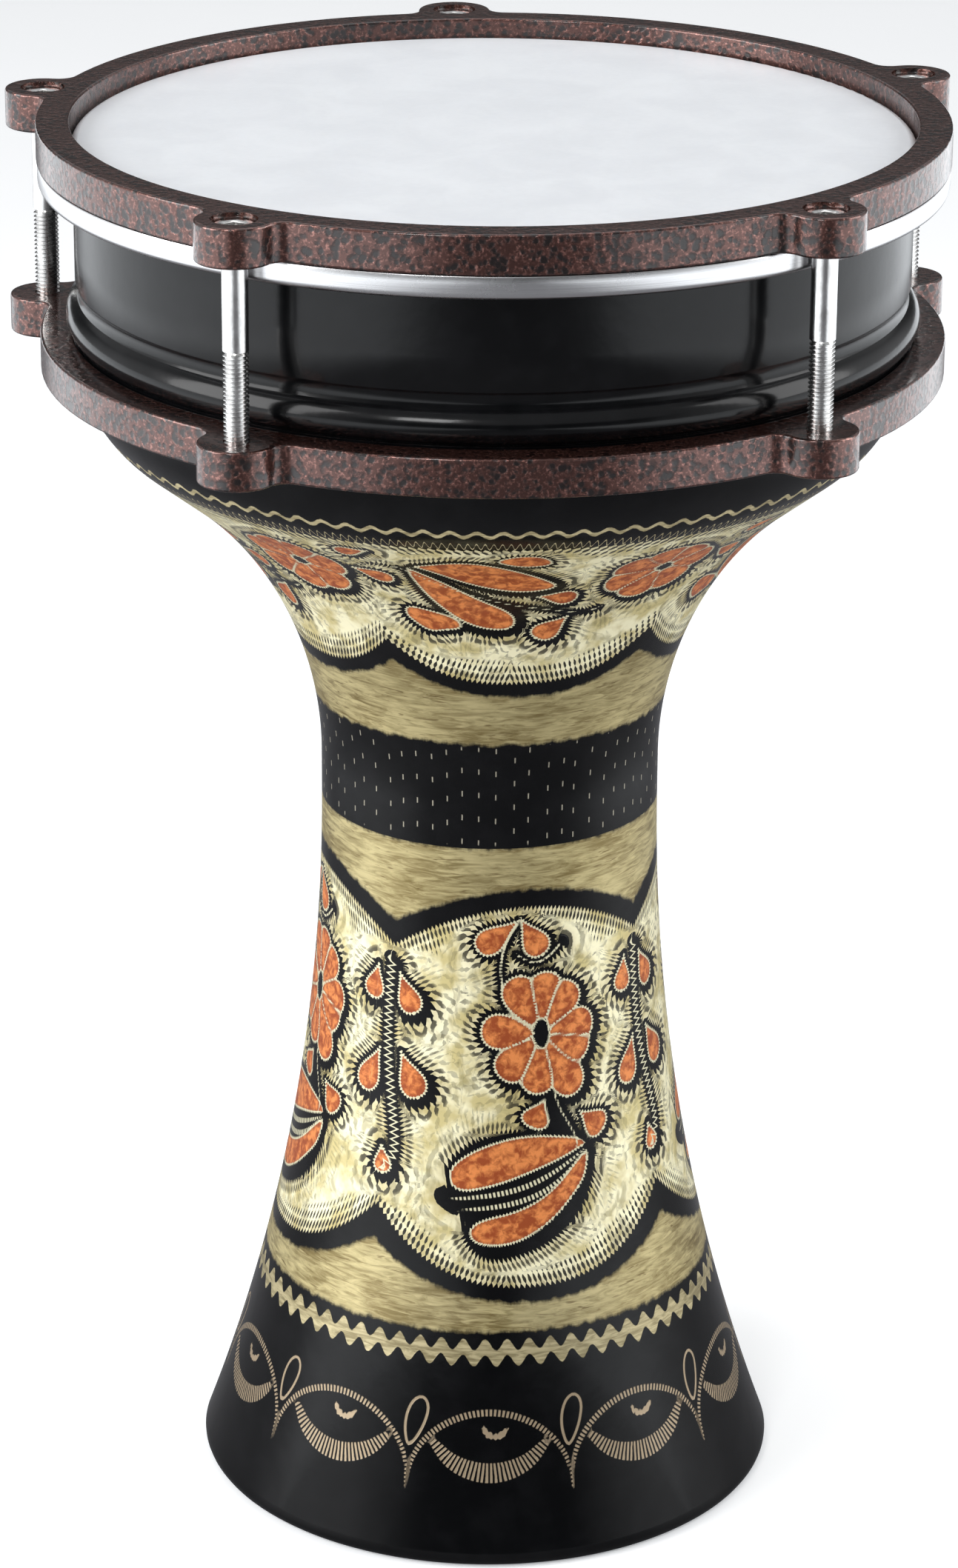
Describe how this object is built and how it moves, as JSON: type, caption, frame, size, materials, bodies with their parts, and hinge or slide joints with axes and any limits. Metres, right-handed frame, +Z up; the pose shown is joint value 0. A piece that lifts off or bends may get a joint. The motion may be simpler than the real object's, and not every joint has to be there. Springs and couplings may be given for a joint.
{
  "type": "darbuka",
  "caption": "Goblet-shaped hand drum: engraved spun metal shell, plastic head on a channel hoop, tension ring drawn down on an anchor ring by long socket screws.",
  "frame": {"origin": "on the drum's axis, in the plane the foot stands on", "axes": "+Z up the axis from the foot to the head; +Y through the lug pair of tuning_bolt_1; the medallion facing -Y is the front"},
  "size_m": [0.2276, 0.2262, 0.3466],
  "materials": {
    "lacquered_shell": "gloss black lacquer with engraved gold and copper ornament",
    "hammered_copper_paint": "antique copper hammertone paint on cast alloy",
    "drumhead_film": "smooth white coated polyester film",
    "bright_hoop": "satin bright",
    "cast_resin": "cast",
    "zinc_screw": "bright zinc plated"
  },
  "bodies": {
    "shell": {"bowl_shell": "lacquered_shell", "foot_shell": "lacquered_shell", "anchor_ring": "hammered_copper_paint", "head_film": "drumhead_film", "flesh_hoop": "bright_hoop", "hoop_resin": "cast_resin"},
    "top_ring": {"tension_ring": "hammered_copper_paint"},
    "screw_1": {"tuning_bolt_1": "zinc_screw"},
    "screw_2": {"tuning_bolt_2": "zinc_screw"},
    "screw_3": {"tuning_bolt_3": "zinc_screw"},
    "screw_4": {"tuning_bolt_4": "zinc_screw"},
    "screw_5": {"tuning_bolt_5": "zinc_screw"}
  },
  "joints": [
    {"name": "ring_rise", "type": "slide", "parent": "shell", "child": "top_ring", "axis": [0, 0, 1], "range_m": [0, 0.006]},
    {"name": "screw_turn_1", "type": "hinge", "parent": "top_ring", "child": "screw_1", "pos_m": [0, 0.1102, 0.3394], "axis": [0, 0, 1], "range_deg": [0, 2160]},
    {"name": "screw_turn_2", "type": "hinge", "parent": "top_ring", "child": "screw_2", "pos_m": [-0.10481, 0.03405, 0.3394], "axis": [0, 0, 1], "range_deg": [0, 2160]},
    {"name": "screw_turn_3", "type": "hinge", "parent": "top_ring", "child": "screw_3", "pos_m": [-0.06477, -0.08915, 0.3394], "axis": [0, 0, 1], "range_deg": [0, 2160]},
    {"name": "screw_turn_4", "type": "hinge", "parent": "top_ring", "child": "screw_4", "pos_m": [0.06477, -0.08915, 0.3394], "axis": [0, 0, 1], "range_deg": [0, 2160]},
    {"name": "screw_turn_5", "type": "hinge", "parent": "top_ring", "child": "screw_5", "pos_m": [0.10481, 0.03405, 0.3394], "axis": [0, 0, 1], "range_deg": [0, 2160]}
  ],
  "couplings": [
    {"joint": "screw_turn_1", "follows": "ring_rise", "rad_per_m": 6283.2},
    {"joint": "screw_turn_2", "follows": "ring_rise", "rad_per_m": 6283.2},
    {"joint": "screw_turn_3", "follows": "ring_rise", "rad_per_m": 6283.2},
    {"joint": "screw_turn_4", "follows": "ring_rise", "rad_per_m": 6283.2},
    {"joint": "screw_turn_5", "follows": "ring_rise", "rad_per_m": 6283.2}
  ]
}
